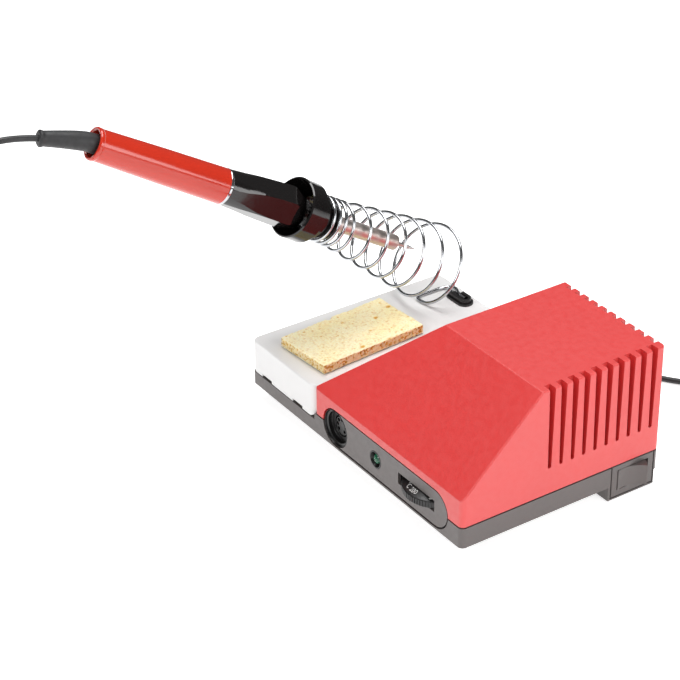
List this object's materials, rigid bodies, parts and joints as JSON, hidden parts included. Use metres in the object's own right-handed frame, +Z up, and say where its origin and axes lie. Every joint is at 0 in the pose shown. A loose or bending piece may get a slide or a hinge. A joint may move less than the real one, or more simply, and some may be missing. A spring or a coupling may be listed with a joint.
{
  "type": "soldering iron station",
  "caption": "Temperature-controlled soldering station: red cased power unit with a thumbwheel and rocker switch, holder tray with sponge and spring rest, and a corded iron in the rest.",
  "frame": {"origin": "on the table plane, under the middle of the base's 232 x 153 mm footprint", "axes": "+Z up; +X to the right and +Y to the back as seen by a user who faces the front panel"},
  "size_m": [0.3498, 0.5825, 0.2297],
  "materials": {
    "red_shell": "fine moulded texture",
    "dark_shell": "fine moulded texture",
    "black_plastic": "satin",
    "grey_tray": "satin moulded",
    "black_rubber": "matte",
    "zinc_screws": "zinc plated",
    "brass_contacts": "plated",
    "green_lens": "clear moulded",
    "circuit_board": "solder resist",
    "aluminium_sink": "satin",
    "fuse_glass": "clear",
    "core_steel": "varnished laminations",
    "bobbin_nylon": "natural nylon",
    "winding_tape": "polyester tape",
    "chrome_wire": "polished",
    "gloss_black": "high gloss",
    "yellow_sponge": "cellulose sponge",
    "red_handle": "gloss",
    "barrel_steel": "heat tinted stainless steel",
    "tip_plating": "plated copper",
    "heater_ceramic": "ceramic",
    "cord_black": "matte"
  },
  "bodies": {
    "station": {"base_shell": "dark_shell", "board_parts": "black_plastic", "board_screws": "zinc_screws", "capacitors": "black_plastic", "case_screws": "zinc_screws", "coil_clip": "black_plastic", "control_board": "circuit_board", "front_panel": "dark_shell", "fuse": "fuse_glass", "fuse_clips": "zinc_screws", "heat_sink": "aluminium_sink", "holder_coil": "chrome_wire", "holder_funnel": "gloss_black", "holder_tray": "grey_tray", "iron_lead_coil": "cord_black", "iron_lead_tie": "black_rubber", "iron_plug_insert": "bobbin_nylon", "iron_plug_pins": "brass_contacts", "iron_plug_shell": "gloss_black", "lamp_bezel": "black_plastic", "lamp_leads": "zinc_screws", "lamp_lens": "green_lens", "mains_lead": "cord_black", "mains_lead_coil": "cord_black", "mains_lead_tie": "black_rubber", "mains_plug_body": "black_rubber", "mains_plug_pins": "brass_contacts", "mains_strain_relief": "black_rubber", "potentiometer": "black_plastic", "power_triac": "black_plastic", "rubber_feet": "black_rubber", "socket_contacts": "brass_contacts", "socket_housing": "black_plastic", "strap_screws": "zinc_screws", "switch_housing": "dark_shell", "switch_terminals": "brass_contacts", "top_cover": "red_shell", "transformer_bobbin": "bobbin_nylon", "transformer_core": "core_steel", "transformer_strap": "zinc_screws", "transformer_winding": "winding_tape"},
    "temperature_dial": {"temperature_wheel": "black_plastic", "potentiometer_shaft": "zinc_screws"},
    "rocker": {"switch_rocker": "dark_shell"},
    "iron": {"iron_grip": "gloss_black", "iron_ring": "chrome_wire", "iron_handle": "red_handle", "iron_nut": "barrel_steel", "iron_barrel": "barrel_steel", "iron_tip": "tip_plating", "iron_heater": "heater_ceramic", "iron_boot": "black_rubber", "iron_lead": "cord_black"},
    "wiping_sponge": {"sponge": "yellow_sponge"}
  },
  "joints": [
    {"name": "dial_turn", "type": "hinge", "parent": "station", "child": "temperature_dial", "pos_m": [0.0696, -0.06, 0.0263], "axis": [0, 0, 1], "range_deg": [-135, 135]},
    {"name": "rocker_tip", "type": "hinge", "parent": "station", "child": "rocker", "pos_m": [0.111, 0.0556, 0.0145], "axis": [0, 0, 1], "range_deg": [0, 34]},
    {"name": "iron_withdraw", "type": "slide", "parent": "station", "child": "iron", "axis": [-0.1426, -0.8584, 0.4928], "range_m": [0, 0.125], "deforming": ["iron_lead"]},
    {"name": "sponge_pull", "type": "slide", "parent": "station", "child": "wiping_sponge", "axis": [0, -1, 0], "range_m": [0, 0.06]}
  ]
}
